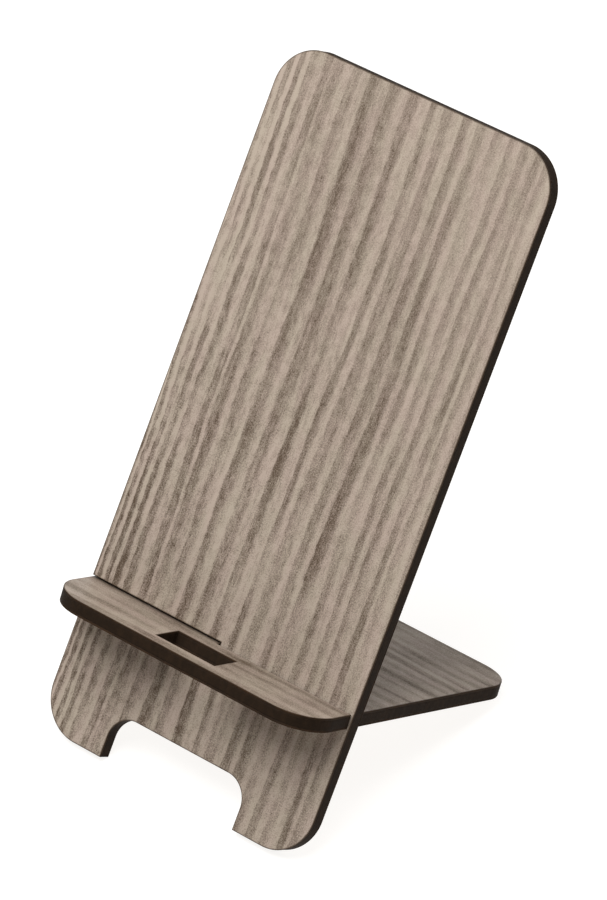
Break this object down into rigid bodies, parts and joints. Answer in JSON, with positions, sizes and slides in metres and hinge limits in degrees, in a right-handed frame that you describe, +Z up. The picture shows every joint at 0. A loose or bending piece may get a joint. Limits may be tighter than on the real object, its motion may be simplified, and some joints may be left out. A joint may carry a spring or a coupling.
{
  "type": "phone stand",
  "caption": "Slot-together phone stand: a tall leaning back panel crossed by a base board that forms the phone shelf and the rear leg.",
  "frame": {"origin": "on the ground, in the middle of the stand's own bounding box", "axes": "+Z up, +X to the right of a person facing the shelf, +Y from the shelf back to the leg"},
  "size_m": [0.0702, 0.086, 0.1294],
  "materials": {
    "wood_veneer": "grey-brown ash-look veneer, open straight grain, satin",
    "fibreboard_core": "fibreboard, cut edges charred near-black by the laser, matt"
  },
  "bodies": {
    "back_panel": {"back_panel_core": "fibreboard_core", "back_panel_front_veneer": "wood_veneer", "back_panel_rear_veneer": "wood_veneer"},
    "base_board": {"base_board_core": "fibreboard_core", "base_board_top_veneer": "wood_veneer", "base_board_underside_veneer": "wood_veneer"}
  },
  "joints": [
    {"name": "base_slide", "type": "slide", "parent": "back_panel", "child": "base_board", "axis": [-1, 0, 0], "range_m": [0, 0.072]}
  ]
}
